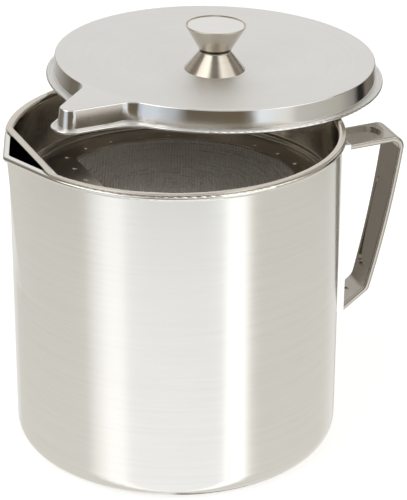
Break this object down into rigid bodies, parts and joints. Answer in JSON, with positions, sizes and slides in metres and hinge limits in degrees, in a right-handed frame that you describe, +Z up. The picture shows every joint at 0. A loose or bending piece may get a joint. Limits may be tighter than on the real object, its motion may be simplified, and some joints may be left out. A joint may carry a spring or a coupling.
{
  "type": "grease container",
  "caption": "Straight-sided steel pot with a pouring spout and strap handle, a lift-out mesh strainer and a loose spouted lid with a double-cone knob.",
  "frame": {"origin": "centre of the pot's flat base, on the surface it stands on", "axes": "+Z up along the pot's axis, -X toward the pouring spout, +X roughly toward the handle"},
  "size_m": [0.1774, 0.1843, 0.1531],
  "materials": {
    "pot_steel": "satin stainless steel",
    "handle_steel": "polished stainless steel strap",
    "weld_steel": "plain weld metal",
    "strainer_steel": "bright rolled stainless steel",
    "mesh_wire": "fine woven stainless wire",
    "lid_steel": "fine satin top with a bright wall",
    "knob_steel": "polished steel",
    "fastener_steel": "plain steel"
  },
  "bodies": {
    "pot": {"pot_body": "pot_steel", "handle_strap": "handle_steel", "handle_back_strap": "handle_steel", "handle_tack_welds": "weld_steel"},
    "strainer": {"strainer_pan": "strainer_steel", "strainer_mesh": "mesh_wire", "mesh_backing_ring": "strainer_steel", "mesh_spot_welds": "weld_steel"},
    "lid": {"lid_cover": "lid_steel", "knob_lower_cone": "knob_steel", "knob_upper_cone": "knob_steel", "knob_top_disc": "knob_steel", "knob_insert": "fastener_steel", "knob_washer": "fastener_steel", "knob_screw": "fastener_steel"}
  },
  "joints": [
    {"name": "lid_lift", "type": "slide", "parent": "pot", "child": "lid", "axis": [0, 0, 1], "range_m": [0, 0.14]},
    {"name": "strainer_lift", "type": "slide", "parent": "pot", "child": "strainer", "axis": [0, 0, 1], "range_m": [0, 0.07]}
  ],
  "couplings": [
    {"joint": "strainer_lift", "follows": "lid_lift", "ratio": 0.5}
  ]
}
